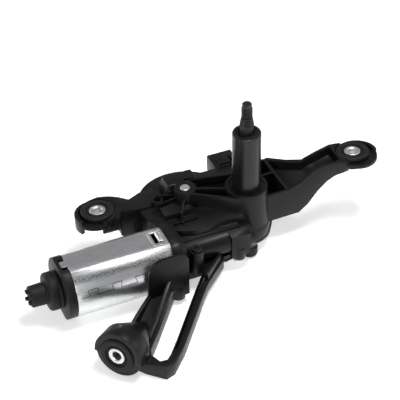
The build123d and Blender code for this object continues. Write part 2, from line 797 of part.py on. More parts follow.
def rear_cap():
    """Rubber cap over the hub: a wide skirt, a narrower nose and three small feet on the nose."""
    nose_x = cap_rear_x - nub_length
    skirt = rod_x(cap_r, cap_rear_x, plate_rear_x - soft_gap)
    skirt = fillet(skirt.edges().filter_by(GeomType.CIRCLE).sort_by(Axis.X)[0], 2.2)
    nose = rod_x(nub_r, nose_x, cap_rear_x + 1)
    nose = fillet(nose.edges().filter_by(GeomType.CIRCLE).sort_by(Axis.X)[0], 1.2)
    cap = skirt + nose
    for turn in (20, 140, 260):
        y, z = around(Vector(motor_y, motor_z, 0), 4.6, turn)
        cap += rod_x(1.7, nose_x - 2.4, nose_x + 1, y, z)
    return cap - rod_x(hub_r + soft_gap, plate_rear_x - hub_length - soft_gap, plate_rear_x + 1)


# ---- connector ------------------------------------------------------------------------------
def connector_socket():
    """Open shroud with a latch rib and two guide ribs on top, and a back wall that holds the pins."""
    shell = block(socket_x0, socket_x1, shoulder_y, socket_y1, socket_z0, socket_z1)
    shell -= block(
        socket_x0 + socket_wall,
        socket_x1 - socket_wall,
        shoulder_y + 4.0,
        socket_y1 + 1,
        socket_z0 + socket_wall,
        socket_z1 - socket_wall,
    )
    shell += block(-1.0, 6.0, shoulder_y + 2.0, socket_y1 - 3.0, socket_z1, socket_z1 + 1.6)
    for x in (-3.0, 1.5, 7.0):
        shell += block(x, x + 1.4, shoulder_y + 1.0, socket_y1 - 7.0, socket_z1, socket_z1 + 2.4)
    slot = pin_size / 2 + seat_gap
    for x in pin_places:
        shell -= block(x - slot, x + slot, shoulder_y - 1, shoulder_y + 5, pin_z - slot, pin_z + slot)
    return shell


def connector_pins():
    half = pin_size / 2
    y0, y1 = shoulder_y + 0.5, socket_y1 - pin_setback
    return [block(x - half, x + half, y0, y1, pin_z - half, pin_z + half) for x in pin_places]


# ---- output shaft group ---------------------------------------------------------------------
def output_shaft():
    """Shaft with a knurl cone and a plain cylinder where the wiper arm's nut thread runs."""
    profile = [
        (0, lever_foot_z),
        (shaft_r, lever_foot_z),
        (shaft_r, neck_top_z - 0.6),
        (cone_base_r, neck_top_z),
        (cone_top_r, cone_top_z),
        (thread_r, cone_top_z + 0.2),
        (thread_r, thread_top_z),
        (point_r, thread_top_z + 0.4),
        (point_r, shaft_top_z - 0.5),
        (point_r - 0.5, shaft_top_z),
        (0, shaft_top_z),
    ]
    face = make_face(Polyline(*[(r, 0, z) for r, z in profile], close=True))
    shaft = revolve(face, Axis.Z)
    shaft -= Pos(0, 0, shaft_top_z - 2.4) * Cone(0.4, 1.7, 2.5, align=(CENTRE, CENTRE, LOW))
    return shaft - tube(shaft_r + 1, shaft_r - ring_groove_depth, ring_z, ring_z + ring_thickness)


def shaft_ring():
    ring = tube(6.2, shaft_r - ring_groove_depth + seat_gap, ring_z + 0.05, ring_z + ring_thickness - 0.05)
    return ring - block(-1.5, 1.5, 0, 9, ring_z - 1, ring_z + 3)


def output_lever():
    lever = hull_prism([(0, 0, 8.5), (lever_end.X, lever_end.Y, eye_r)], lever_foot_z, lever_top_z)
    lever += disc(lever_boss_r, lever_top_z, boss_foot_z - air_gap)
    lever -= disc(shaft_r + seat_gap, -60, 0)
    return lever - disc(lever_pin_r + seat_gap, -60, 0, lever_end.X, lever_end.Y)


def lever_pin():
    return disc(lever_pin_r, lever_foot_z, rod_foot_z - 0.3, lever_end.X, lever_end.Y)


# ---- wheel group ----------------------------------------------------------------------------
def tooth_gap():
    """One slanted gap between teeth, on the wheel's -Y side, with straight flanks."""
    pitch_gap = thread_pitch_width + backlash
    slope = math.tan(math.radians(flank_angle))
    mouth_r = wheel_tip_r + 0.5
    root_half = pitch_gap / 2 - (wheel_pitch_r - wheel_root_r) * slope
    mouth_half = pitch_gap / 2 + (mouth_r - wheel_pitch_r) * slope
    outline = [
        (-root_half, -wheel_root_r, 0),
        (root_half, -wheel_root_r, 0),
        (mouth_half, -mouth_r, 0),
        (-mouth_half, -mouth_r, 0),
    ]
    section = make_face(Polyline(*outline, close=True))
    return Rot(0, lead_angle, 0) * extrude(section, amount=wheel_face, both=True)


def worm_wheel():
    wheel = disc(wheel_tip_r, wheel_z0, wheel_z1, wheel_x, wheel_y)
    wheel -= tube(wheel_root_r - 3.0, 10.0, contact_z, wheel_z1 + 1, wheel_x, wheel_y)
    wheel -= disc(wheel_pin_r + run_gap, wheel_z0 - 1, wheel_z1 + 1, wheel_x, wheel_y)
    seat_z1 = wheel_z0 + crank_pin_depth + 0.1
    wheel -= disc(crank_pin_r + seat_gap, wheel_z0 - 1, seat_z1, crank_end.X, crank_end.Y)
    gap = tooth_gap()
    centre = Pos(wheel_x, wheel_y, motor_z)
    return wheel - [centre * Rot(0, 0, 360 * i / wheel_teeth) * gap for i in range(wheel_teeth)]


def contact_ring():
    r_out, r_in = contact_r + contact_half, contact_r - contact_half
    ring = tube(r_out, r_in, contact_z, contact_z + contact_thickness, wheel_x, wheel_y)
    return ring - block(wheel_x, wheel_x + 30, wheel_y - 2.5, wheel_y + 2.5, contact_z + 0.3, contact_z + 1)


def crank_pin():
    x, y = crank_end.X, crank_end.Y
    pin = disc(crank_pin_r, rod_foot_z - 1.1, wheel_z0 + crank_pin_depth, x, y)
    return pin - tube(crank_pin_r + 1, crank_pin_r - 0.5, rod_foot_z - 0.9, rod_foot_z - 0.1, x, y)


def crank_clip():
    return tube(4.6, crank_pin_r - 0.45, rod_foot_z - 0.85, rod_foot_z - 0.15, crank_end.X, crank_end.Y)


# ---- connecting rod -------------------------------------------------------------------------
def connecting_rod():
    rod = disc(eye_r, rod_foot_z, rod_top_z, crank_end.X, crank_end.Y)
    rod += disc(eye_r, rod_foot_z, rod_top_z, lever_end.X, lever_end.Y)
    rod += bar((crank_end.X, crank_end.Y), (lever_end.X, lever_end.Y), rod_width, rod_foot_z, rod_top_z)
    rod -= disc(crank_pin_r + run_gap, -60, 0, crank_end.X, crank_end.Y)
    return rod - disc(lever_pin_r + run_gap, -60, 0, lever_end.X, lever_end.Y)


# ---- armature -------------------------------------------------------------------------------
def worm_thread():
    """One right-hand thread with even flanks, wound round the shaft and centred on the wheel."""
    slope = math.tan(math.radians(flank_angle))
    base_r = worm_core_r - 0.15
    base_half = thread_pitch_width / 2 + (worm_pitch_r - base_r) * slope
    tip_half = thread_pitch_width / 2 - (worm_tip_r - worm_pitch_r) * slope
    height = worm_turns * worm_pitch
    outline = [
        (base_r, 0, -base_half),
        (worm_tip_r, 0, -tip_half),
        (worm_tip_r, 0, tip_half),
        (base_r, 0, base_half),
    ]
    section = make_face(Polyline(*outline, close=True))
    thread = sweep(section, path=Helix(pitch=worm_pitch, height=height, radius=worm_pitch_r), is_frenet=True)
    # the helix starts on its own +X, which is laid to the wheel's side, so that with an even
    # number of half turns its middle stands in the wheel's gap
    laid = Plane(origin=(wheel_x, motor_y, motor_z), x_dir=(0, 1, 0), z_dir=(1, 0, 0))
    return laid.location * Pos(0, 0, -height / 2) * thread


def armature_shaft():
    shaft = rod_x(rotor_shaft_r, plate_rear_x - 3.0, plug_x - 0.3)
    shaft += rod_x(worm_core_r, wheel_x - worm_length / 2, wheel_x + worm_length / 2)
    return shaft + worm_thread()


def armature_core():
    core = rod_x(core_r, core_x - core_length / 2, core_x + core_length / 2)
    core -= rod_x(rotor_shaft_r + seat_gap, core_x - core_length, core_x + core_length)
    slot = Pos(0, 0, core_r - 2.2) * Box(core_length + 2, 1.8, 7.0)
    centre = Pos(core_x, motor_y, motor_z)
    return core - [centre * Rot(360 * i / core_slots, 0, 0) * slot for i in range(core_slots)]


def windings():
    """The two coil heads that stand out at the ends of the core."""
    rings = []
    for x0 in (core_x - core_length / 2 - 0.1 - winding_length, core_x + core_length / 2 + 0.1):
        ring = rod_x(winding_r, x0, x0 + winding_length)
        rings.append(ring - rod_x(rotor_shaft_r + 0.2, x0 - 1, x0 + winding_length + 1))
    return rings


def commutator():
    ring = rod_x(commutator_r, commutator_x, commutator_x + commutator_length)
    ring -= rod_x(rotor_shaft_r + seat_gap, commutator_x - 1, commutator_x + commutator_length + 1)
    cut = Pos(0, 0, commutator_r) * Box(commutator_length + 2, 0.5, 1.0)
    centre = Pos(commutator_x + commutator_length / 2, motor_y, motor_z)
    return ring - [centre * Rot(360 * (i + 0.5) / core_slots, 0, 0) * cut for i in range(core_slots)]


# ---- all pieces -----------------------------------------------------------------------------
makers = [
    gear_housing,
    right_mount_arm,
    left_mount_arm,
    front_mount_arm,
    cover_plate,
    cover_screws,
    frame_screw,
    underside_buffers,
    tower_sleeve,
    upper_bush,
    lower_bush,
    shaft_seal,
    wheel_pin,
    wheel_clip,
    park_contacts,
    motor_can,
    magnets,
    end_plate,
    brushes,
    brush_springs,
    rear_bearing,
    front_bearing,
    worm_end_bush,
    worm_end_plug,
    rear_cap,
    connector_socket,
    connector_pins,
    output_shaft,
    shaft_ring,
    output_lever,
    lever_pin,
    worm_wheel,
    contact_ring,
    crank_pin,
    crank_clip,
    connecting_rod,
    armature_shaft,
    armature_core,
    windings,
    commutator,
]
pieces = {maker.__name__: maker() for maker in makers}
for side, eye in (("left", left_eye), ("right", right_eye), ("front", front_eye)):
    pieces[f"{side}_grommet"] = eye * grommet()
    pieces[f"{side}_spacer"] = eye * spacer()

os.makedirs("parts", exist_ok=True)
for name, made in pieces.items():
    group = made if isinstance(made, list) else [made]
    solids = [solid for piece in group for solid in piece.solids()]
    shape = solids[0] if len(solids) == 1 else Compound(children=list(solids))
    export_step(shape, f"parts/{name}.step")
    print(name, len(solids), round(sum(solid.volume for solid in solids), 1))
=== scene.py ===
import json
import math

import bmesh
import bpy
from mathutils import Matrix, Vector


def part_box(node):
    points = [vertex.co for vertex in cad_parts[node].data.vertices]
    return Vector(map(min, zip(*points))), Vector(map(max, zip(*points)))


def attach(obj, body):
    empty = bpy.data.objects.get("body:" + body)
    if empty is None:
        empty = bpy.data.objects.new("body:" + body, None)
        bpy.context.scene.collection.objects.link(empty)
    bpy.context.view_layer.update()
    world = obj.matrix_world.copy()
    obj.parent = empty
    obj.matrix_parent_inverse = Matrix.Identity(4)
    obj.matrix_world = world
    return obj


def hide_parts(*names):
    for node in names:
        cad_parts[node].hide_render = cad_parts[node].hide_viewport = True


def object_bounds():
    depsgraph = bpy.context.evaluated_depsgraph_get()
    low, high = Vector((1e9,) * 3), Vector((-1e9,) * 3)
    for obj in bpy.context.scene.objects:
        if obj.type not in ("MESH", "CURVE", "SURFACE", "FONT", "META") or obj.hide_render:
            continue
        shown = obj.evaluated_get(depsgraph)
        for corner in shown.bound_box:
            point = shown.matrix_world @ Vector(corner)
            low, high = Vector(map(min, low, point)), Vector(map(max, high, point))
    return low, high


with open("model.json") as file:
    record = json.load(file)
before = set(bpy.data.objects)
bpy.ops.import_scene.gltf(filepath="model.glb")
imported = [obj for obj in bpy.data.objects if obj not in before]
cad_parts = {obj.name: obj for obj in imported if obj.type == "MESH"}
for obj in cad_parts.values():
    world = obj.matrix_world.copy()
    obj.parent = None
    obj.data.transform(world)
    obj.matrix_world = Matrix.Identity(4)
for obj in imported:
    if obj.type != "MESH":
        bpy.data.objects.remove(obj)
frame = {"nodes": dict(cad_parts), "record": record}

# Looks of a rear wiper gear motor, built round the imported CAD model. Metres; +Z runs outwards
# along the wiper shaft and +X along the motor, with the origin on the shaft at the tower collar.

cad_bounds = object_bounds()
MM = 0.001
FLOOR_GLOW = 0.46       # light that the floor adds where the camera, metal or glass sees it
SLEEVE_MIDDLE = 5.35    # from the top face of a grommet down to the middle of its sleeve, mm
nodes = frame["nodes"]
mounts = {mount["name"]: mount for mount in frame["record"]["mounts"]}
slot_of = {part["node"]: part["material_slot"] for part in frame["record"]["subparts"]}
can_low, can_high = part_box("motor_can")
motor_axis = Vector((0, (can_low.y + can_high.y) / 2, (can_low.z + can_high.z) / 2))
can_r = (can_high.y - can_low.y) / 2


# ---- materials ------------------------------------------------------------------------------
def new_material(name):
    material = bpy.data.materials.new(name)
    material.use_nodes = True
    tree = material.node_tree
    return material, tree, tree.nodes["Principled BSDF"]


def coordinates(tree, stretch):
    """Object coordinates, scaled per axis, so that a texture can be drawn out along one of them."""
    coords = tree.nodes.new("ShaderNodeTexCoord")
    mapping = tree.nodes.new("ShaderNodeMapping")
    mapping.inputs["Scale"].default_value = stretch
    tree.links.new(coords.outputs["Object"], mapping.inputs["Vector"])
    return mapping.outputs["Vector"]


def noise(tree, vector, scale, detail=3.0, roughness=0.55):
    node = tree.nodes.new("ShaderNodeTexNoise")
    node.inputs["Scale"].default_value = scale
    node.inputs["Detail"].default_value = detail
    node.inputs["Roughness"].default_value = roughness
    tree.links.new(vector, node.inputs["Vector"])
    return node.outputs["Fac"]


def ramp(tree, value, stops):
    node = tree.nodes.new("ShaderNodeValToRGB")
    elements = node.color_ramp.elements
    while len(elements) < len(stops):
        elements.new(0.5)
    for element, (place, color) in zip(elements, stops):
        element.position = place
        element.color = (*color, 1.0)
    tree.links.new(value, node.inputs["Fac"])
    return node.outputs["Color"]


def spread(tree, value, low, high):
    node = tree.nodes.new("ShaderNodeMapRange")
    node.inputs["From Min"].default_value = 0.3
    node.inputs["From Max"].default_value = 0.7
    node.inputs["To Min"].default_value = low
    node.inputs["To Max"].default_value = high
    tree.links.new(value, node.inputs["Value"])
    return node.outputs["Result"]


def bump(tree, shader, height, strength, distance):
    node = tree.nodes.new("ShaderNodeBump")
    node.inputs["Strength"].default_value = strength
    node.inputs["Distance"].default_value = distance
    tree.links.new(height, node.inputs["Height"])
    tree.links.new(node.outputs["Normal"], shader.inputs["Normal"])


def surface(name, dark, light, rough, metallic=0.0, patch=60.0, grain=2500.0, depth=0.00004,
            stretch=(1, 1, 1), specular=0.5, strength=0.35):
    """A finish whose colour and gloss wander over broad patches, with a fine grain in relief."""
    material, tree, shader = new_material(name)
    shader.inputs["Metallic"].default_value = metallic
    shader.inputs["Specular IOR Level"].default_value = specular
    broad = noise(tree, coordinates(tree, (1, 1, 1)), patch)
    tree.links.new(ramp(tree, broad, [(0.3, dark), (0.7, light)]), shader.inputs["Base Color"])
    fine = noise(tree, coordinates(tree, stretch), grain)
    tree.links.new(spread(tree, fine, *rough), shader.inputs["Roughness"])
    bump(tree, shader, fine, strength, depth)
    return material


def plastic(name, level, rough):
    return surface(name, (level, level, level * 1.03), (level * 1.7, level * 1.7, level * 1.75), rough,
                   patch=45.0, grain=2200.0, depth=0.00005, specular=0.26)


def rubber(name):
    return surface(name, (0.005, 0.005, 0.0052), (0.010, 0.010, 0.0105), (0.5, 0.68), patch=90.0,
                   grain=3200.0, depth=0.00006, specular=0.25)


def zinc(name, dark, light, rough, stretch=(1, 1, 1), grain=900.0):
    return surface(name, dark, light, rough, metallic=1.0, patch=80.0, grain=grain, depth=0.00002,
                   stretch=stretch, strength=0.25)


def fade(tree, value, start, full):
    """0 at the start value and 1 at the full one, with soft ends."""
    node = tree.nodes.new("ShaderNodeMapRange")
    node.interpolation_type = "SMOOTHSTEP"
    node.inputs["From Min"].default_value = start
    node.inputs["From Max"].default_value = full
    tree.links.new(value, node.inputs["Value"])
    return node.outputs["Result"]


def calculate(tree, operation, first, second):
    node = tree.nodes.new("ShaderNodeMath")
    node.operation = operation
    tree.links.new(first, node.inputs[0])
    tree.links.new(second, node.inputs[1])
    return node.outputs["Value"]


def can_metal():
    """Zinc plated sheet, drawn along the motor, with a painted dark reflection: dark speckles in a band
    round its upper side, where the can mirrors a dark part of the room.
    """
    # Painted dark reflection: the band at this angle is where the can mirrors a dark part of the room, and
    # its speckles are painted dark there.
    dark_reflection_angle = 46     # degrees above the horizontal through the axis
    reflection_below, reflection_above = 0.0028, 0.0026
    material, tree, shader = new_material("zinc_can")
    shader.inputs["Metallic"].default_value = 1.0
    drawn = noise(tree, coordinates(tree, (0.06, 1, 1)), 1400.0)
    blotch = noise(tree, coordinates(tree, (0.5, 1, 1)), 90.0)
    speckle = noise(tree, coordinates(tree, (0.6, 1, 1)), 1700.0, detail=2.0)
    split = tree.nodes.new("ShaderNodeSeparateXYZ")
    tree.links.new(coordinates(tree, (1, 1, 1)), split.inputs["Vector"])
    height = split.outputs["Z"]
    middle = motor_axis.z + can_r * math.sin(math.radians(dark_reflection_angle))
    rising = fade(tree, height, middle - reflection_below, middle)
    falling = fade(tree, height, middle + reflection_above, middle)
    dark_reflection_band = calculate(tree, "MULTIPLY", rising, falling)
    spots = ramp(tree, speckle, [(0.44, (0, 0, 0)), (0.53, (1, 1, 1))])
    zinc_tone = ramp(tree, blotch, [(0.3, (0.68, 0.69, 0.70)), (0.7, (0.76, 0.77, 0.78))])
    mix = tree.nodes.new("ShaderNodeMix")
    mix.data_type = "RGBA"
    tree.links.new(calculate(tree, "MULTIPLY", spots, dark_reflection_band), mix.inputs["Factor"])
    tree.links.new(zinc_tone, mix.inputs["A"])
    # Dark colour of the painted reflection band.
    mix.inputs["B"].default_value = (0.20, 0.20, 0.205, 1)
    tree.links.new(mix.outputs["Result"], shader.inputs["Base Color"])
    tree.links.new(spread(tree, drawn, 0.26, 0.34), shader.inputs["Roughness"])
    bump(tree, shader, drawn, 0.08, 0.00001)
    return material


def satin_steel(name, stretch):
    """Black coated steel with faint turning marks."""
    return surface(name, (0.005, 0.005, 0.0052), (0.009, 0.009, 0.0094), (0.27, 0.32), patch=60.0,
                   grain=1500.0, depth=0.000006, stretch=stretch, specular=0.4, strength=0.15)


materials = {
    "moulded_black": plastic("moulded_black", 0.0030, (0.32, 0.46)),
    "arm_black": plastic("arm_black", 0.0034, (0.30, 0.44)),
    "end_black": plastic("end_black", 0.0042, (0.42, 0.56)),
    "coated_steel": satin_steel("coated_steel", (1, 1, 0.2)),
    "shaft_steel": surface("shaft_steel", (0.005, 0.005, 0.0055), (0.020, 0.020, 0.021), (0.32, 0.5),
                           patch=160.0, grain=2600.0, depth=0.00005, specular=0.4),
    "zinc_can": can_metal(),
    "zinc_small": zinc("zinc_small", (0.62, 0.63, 0.64), (0.78, 0.79, 0.80), (0.32, 0.46), grain=500.0),
    "zinc_bright": zinc("zinc_bright", (0.80, 0.81, 0.82), (0.88, 0.89, 0.90), (0.30, 0.42)),
    "cover_steel": zinc("cover_steel", (0.45, 0.46, 0.47), (0.60, 0.61, 0.62), (0.28, 0.42)),
    "bearing_bronze": zinc("bearing_bronze", (0.36, 0.24, 0.12), (0.50, 0.35, 0.18), (0.35, 0.5)),
    "contact_brass": zinc("contact_brass", (0.60, 0.44, 0.18), (0.76, 0.58, 0.27), (0.22, 0.35)),
    "copper": zinc("copper", (0.50, 0.20, 0.09), (0.66, 0.30, 0.15), (0.25, 0.4), grain=2600.0),
    "carbon": surface("carbon", (0.02, 0.02, 0.02), (0.04, 0.04, 0.04), (0.5, 0.7)),
    "magnet": surface("magnet", (0.05, 0.05, 0.055), (0.09, 0.09, 0.095), (0.45, 0.65)),
    "core_steel": zinc("core_steel", (0.26, 0.26, 0.27), (0.38, 0.38, 0.39), (0.3, 0.45),
                       stretch=(6, 0.4, 0.4)),
    "gear_white": surface("gear_white", (0.74, 0.72, 0.65), (0.82, 0.80, 0.73), (0.35, 0.48)),
    "rubber_black": rubber("rubber_black"),
}
for node_name, slot_name in slot_of.items():
    node = nodes[node_name]
    node.data.materials.clear()
    node.data.materials.append(materials[slot_name])


# ---- rounded edges on the CAD pieces --------------------------------------------------------
def soften(obj, width):
    """Small rounds on sharp edges. The pack splits vertices along them, so they are welded first."""
    weld = obj.modifiers.new("weld", "WELD")
    weld.merge_threshold = 0.000001
    if width:
        bevel = obj.modifiers.new("edge_round", "BEVEL")
        bevel.width = width
        bevel.segments = 2
        bevel.limit_method = "ANGLE"
        bevel.angle_limit = math.radians(35)
        bevel.use_clamp_overlap = True
    for polygon in obj.data.polygons:
        polygon.use_smooth = True
    split = obj.modifiers.new("crisp", "EDGE_SPLIT")
    split.split_angle = math.radians(32)


round_of = {
    "gear_housing": 0.00035,
    "right_mount_arm": 0.00045,
    "left_mount_arm": 0.00045,
    "front_mount_arm": 0.00055,
    "connector_socket": 0.0003,
    "motor_can": 0.0003,
    "end_plate": 0.0004,
}
for node_name, node in nodes.items():
    soften(node, round_of.get(node_name, 0.0))


# ---- mesh helpers ---------------------------------------------------------------------------
def add_mesh(name, points, faces, slot_name, body):
    mesh = bpy.data.meshes.new(name)
    mesh.from_pydata([tuple(point) for point in points], [], faces)
    mesh.update()
    for polygon in mesh.polygons:
        polygon.use_smooth = True
    obj = bpy.data.objects.new(name, mesh)
    bpy.context.scene.collection.objects.link(obj)
    mesh.materials.append(materials[slot_name])
    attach(obj, body)
    return obj


def crisp(obj, angle=35):
    """Keeps edges sharp that turn by more than the angle."""
    split = obj.modifiers.new("crisp", "EDGE_SPLIT")
    split.split_angle = math.radians(angle)
    return obj


def face_outwards(obj):
    work = bmesh.new()
    work.from_mesh(obj.data)
    bmesh.ops.recalc_face_normals(work, faces=work.faces)
    work.to_mesh(obj.data)
    work.free()


def stacked(rows, around):
    """Quads between rows of points that each close on themselves."""
    faces = []
    for row in range(rows - 1):
        for i in range(around):
            j = (i + 1) % around
            start, above = row * around, (row + 1) * around
            faces.append((start + i, start + j, above + j, above + i))
    return faces


def end_caps(rows, around):
    return [tuple(reversed(range(around))), tuple(range((rows - 1) * around, rows * around))]


def lathe(name, profile, place, slot_name, body, around=72, ring=False):
    """Turns an (r, z) profile round the local Z axis. A ring's profile closes on itself;
    any other profile starts and ends on the axis."""
    points = []
    for r, z in profile:
        for i in range(around):
            angle = 2 * math.pi * i / around
            points.append(place @ Vector((r * math.cos(angle), r * math.sin(angle), z)))
    rows = len(profile)
    faces = stacked(rows, around)
    if ring:
        last = (rows - 1) * around
        for i in range(around):
            j = (i + 1) % around
            faces.append((last + i, last + j, j, i))
    else:
        faces += end_caps(rows, around)
    return crisp(add_mesh(name, points, faces, slot_name, body))


def arc(r0, z0, radius, start, stop, steps=5):
    """Points of a round corner, centred on (r0, z0), angles in degrees."""
    return [
        (
            r0 + radius * math.cos(math.radians(start + (stop - start) * i / steps)),
            z0 + radius * math.sin(math.radians(start + (stop - start) * i / steps)),
        )
        for i in range(steps + 1)
    ]


def scaled(profile):
    return [(r * MM, z * MM) for r, z in profile]


# ---- wiper shaft with its knurl and thread --------------------------------------------------
def output_shaft():
    """Every ring of the shaft has its own radius at each angle, so that the thread winds and the
    knurl stands round the cone."""
    low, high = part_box("output_shaft")
    neck_z, cone_z, thread_z, point_z = 51.9, 58.7, 67.5, round(high.z / MM, 3)
    shaft_r, neck_r, cone_top_r, thread_r, point_r = 4.5, 5.15, 4.0, 3.9, 3.35
    neck_rise, chamfer, runout = 0.6, 0.5, 0.8
    pitch, thread_depth = 1.25, 0.62
    knurls, knurl_depth = 40, 0.32
    centre_hole = ((1.75, 0.0), (1.6, 0.2), (0.9, 1.6), (0.3, 2.3))     # radius and depth, mm
    around = 160

    def radius(z, angle):
        if z < neck_z - neck_rise:
            return shaft_r
        if z < neck_z:
            return shaft_r + (neck_r - shaft_r) * (z - neck_z + neck_rise) / neck_rise
        if z < cone_z:
            cone = neck_r - (neck_r - cone_top_r) * (z - neck_z) / (cone_z - neck_z)
            tooth = abs(((angle * knurls / (2 * math.pi)) % 1) * 2 - 1)
            edge = min(1.0, (z - neck_z) / chamfer, (cone_z - z) / chamfer)
            return cone - knurl_depth * tooth * max(edge, 0.0)
        if z < cone_z + chamfer:
            return thread_r - thread_depth
        if z < thread_z:
            turn = ((z - cone_z) / pitch - angle / (2 * math.pi)) % 1
            crest = abs(turn * 2 - 1)
            ends = min(1.0, (z - cone_z - chamfer) / runout, (thread_z - z) / runout)
            return thread_r - thread_depth * (1 - min(1.0, crest * 1.25) * max(ends, 0.0))
        if z < point_z - chamfer:
            return point_r
        return point_r - (z - point_z + chamfer)

    just = 0.01         # a row this far before a step keeps the step sharp
    cone_step, thread_step = 0.58, 0.11
    cone_start, thread_start = neck_z + chamfer, cone_z + chamfer
    levels = [low.z / MM, 20.0, 40.0, neck_z - neck_rise - just, neck_z - neck_rise, neck_z - just, neck_z]
    levels += [cone_start + i * cone_step for i in range(11)]
    levels += [cone_z - just, cone_z, thread_start - just]
    levels += [thread_start + thread_step * i for i in range(int((thread_z - thread_start) / thread_step))]
    levels += [thread_z - just, thread_z + 0.05, point_z - chamfer, point_z]
    points = []
    for z in sorted(levels):
        for i in range(around):
            angle = 2 * math.pi * i / around
            r = radius(z, angle)
            points.append(Vector((r * math.cos(angle), r * math.sin(angle), z)) * MM)
    for r, depth in centre_hole:
        for i in range(around):
            angle = 2 * math.pi * i / around
            points.append(Vector((r * math.cos(angle), r * math.sin(angle), point_z - depth)) * MM)
    rows = len(points) // around
    faces = stacked(rows, around) + end_caps(rows, around)
    piece = crisp(add_mesh("threaded_shaft", points, faces, "shaft_steel", "output"), 40)
    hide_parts("output_shaft")


output_shaft()


# ---- rubber mounts --------------------------------------------------------------------------
def eye_place(side):
    """Frame of a mount's eye: local Z along the bolt, origin in the grommet's outer face."""
    mount = mounts[f"{side}_mount_bore"]
    axis = Vector(mount["axis"])
    origin = Vector(mount["pos_m"]) + axis * SLEEVE_MIDDLE * MM
    turn = Vector((0, 0, 1)).rotation_difference(axis)
    return Matrix.Translation(origin) @ turn.to_matrix().to_4x4()


def grommet(side):
    """Grooved rubber ring: rounded rims, a dished top with a bead, and a lip round the sleeve."""
    r_out, r_in, depth = 12.25, 6.2, 9.5
    groove_r, groove_top, groove_foot = 8.8, -3.25, -6.25
    profile = [(r_in, -depth)]
    profile += arc(r_out - 1.1, -depth + 1.1, 1.1, -90, 0)
    profile += arc(r_out - 0.6, groove_foot - 0.6, 0.6, 0, 90, 3)
    profile += [(groove_r, groove_foot), (groove_r, groove_top)]
    profile += arc(r_out - 0.6, groove_top + 0.6, 0.6, -90, 0, 3)
    profile += arc(r_out - 1.5, -1.5, 1.5, 0, 90, 6)
    profile += [(9.3, -0.08)]
    profile += arc(8.6, -0.75, 0.55, 90, 180, 4)
    profile += [(8.0, -1.25), (7.4, -1.3)]
    profile += arc(6.85, -0.95, 0.5, 0, 180, 6)
    profile += [(r_in, -1.6)]
    piece = lathe(f"{side}_rubber_grommet", scaled(profile), eye_place(side), "rubber_black", "housing",
                  ring=True)
    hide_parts(f"{side}_grommet")


def spacer(side):
    """Zinc sleeve with a chamfered, slightly coined mouth."""
    top, foot = -0.6, -10.1
    profile = [(3.25, foot + 0.4), (3.65, foot), (5.5, foot), (5.9, foot + 0.4), (5.9, top - 0.45)]
    profile += arc(5.45, top - 0.45, 0.45, 0, 90, 4)
    profile += [(4.25, top), (4.05, top - 0.12), (3.7, top - 0.2), (3.25, top - 0.65)]
    piece = lathe(f"{side}_zinc_sleeve", scaled(profile), eye_place(side), "zinc_small", "housing",
                  around=64, ring=True)
    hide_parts(f"{side}_spacer")


for mount_side in ("left", "right", "front"):
    grommet(mount_side)
    spacer(mount_side)


# ---- rear cap, seal and buffers -------------------------------------------------------------
def rear_cap():
    """Moulded rubber cap: a soft skirt with a bead, a necked nose and a ring of small feet."""
    low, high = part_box("rear_cap")
    start = (high.x - low.x) / MM
    place = Matrix.Translation(Vector((high.x, motor_axis.y, motor_axis.z))) @ Matrix.Rotation(
        math.radians(-90), 4, "Y"
    )
    nose = start - 2.4
    skirt = nose - 11.5
    profile = [(0.6, 5.3), (10.5, 5.3), (10.5, 0.0), (12.9, 0.0)]
    profile += arc(12.9, 0.6, 0.6, -90, 0, 3)
    profile += [(13.5, 1.6), (13.2, 2.1), (13.2, 2.5), (13.5, 3.0)]
    profile += arc(13.5 - 2.2, skirt - 2.2, 2.2, 0, 90, 7)
    profile += arc(8.6, skirt + 0.7, 0.7, 270, 180, 4)
    profile += [(7.9, skirt + 1.6), (7.6, nose - 2.2)]
    profile += arc(7.75 - 1.3, nose - 1.2, 1.2, 0, 90, 6)
    profile += [(5.9, nose), (5.6, nose - 0.7), (3.4, nose - 0.7), (3.1, nose), (1.2, nose)]
    piece = lathe("rubber_rear_cap", scaled(profile), place, "rubber_black", "housing", around=96)
    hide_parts("rear_cap")
    for turn in range(6):
        angle = math.radians(20 + 60 * turn)
        foot_place = place @ Matrix.Translation(
            Vector((4.6 * math.cos(angle), 4.6 * math.sin(angle), nose - 0.8)) * MM
        )
        height = 3.1 if turn % 2 == 0 else 1.9
        foot = [(1.5, 0.0), (1.5, height - 0.5)] + arc(1.0, height - 0.5, 0.5, 0, 90, 4) + [(0.3, height)]
        lathe(f"cap_foot_{turn}", scaled(foot), foot_place, "rubber_black", "housing", around=24)


def shaft_seal():
    """Seal in the mouth of the tower: an outer shell, a valley and a lip close to the shaft."""
    low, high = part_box("shaft_seal")
    top, foot = high.z / MM, low.z / MM
    profile = [(4.8, foot), (6.8, foot), (6.8, top - 0.3)]
    profile += arc(6.5, top - 0.3, 0.3, 0, 90, 3)
    profile += [(6.1, top), (5.9, top - 0.9), (5.5, top - 1.0)]
    profile += [(5.3, top - 0.2), (5.0, top), (4.75, top - 0.2)]
    piece = lathe("shaft_lip_seal", scaled(profile), Matrix.Identity(4), "rubber_black", "housing",
                  ring=True)
    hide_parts("shaft_seal")


rear_cap()
shaft_seal()


# ---- pressed details of the motor can -------------------------------------------------------
def ribbon(name, centre, width, height, slot_name, closed=False):
    """A flat bead along a line: centre gives each point with its outward and sideways directions."""
    points = []
    for place, out, side in centre:
        half = side * width / 2
        points += [place - half - out * height, place - half * 0.7 + out * height,
                   place + half * 0.7 + out * height, place + half - out * height]
    faces = []
    count = len(centre)
    for i in range(count if closed else count - 1):
        j = (i + 1) % count
        for k in range(4):
            n = (k + 1) % 4
            faces.append((4 * i + k, 4 * j + k, 4 * j + n, 4 * i + n))
    if not closed:
        faces.append((0, 1, 2, 3))
        faces.append((4 * count - 1, 4 * count - 2, 4 * count - 3, 4 * count - 4))
    piece = add_mesh(name, points, faces, slot_name, "housing")
    face_outwards(piece)
    crisp(piece, 50)


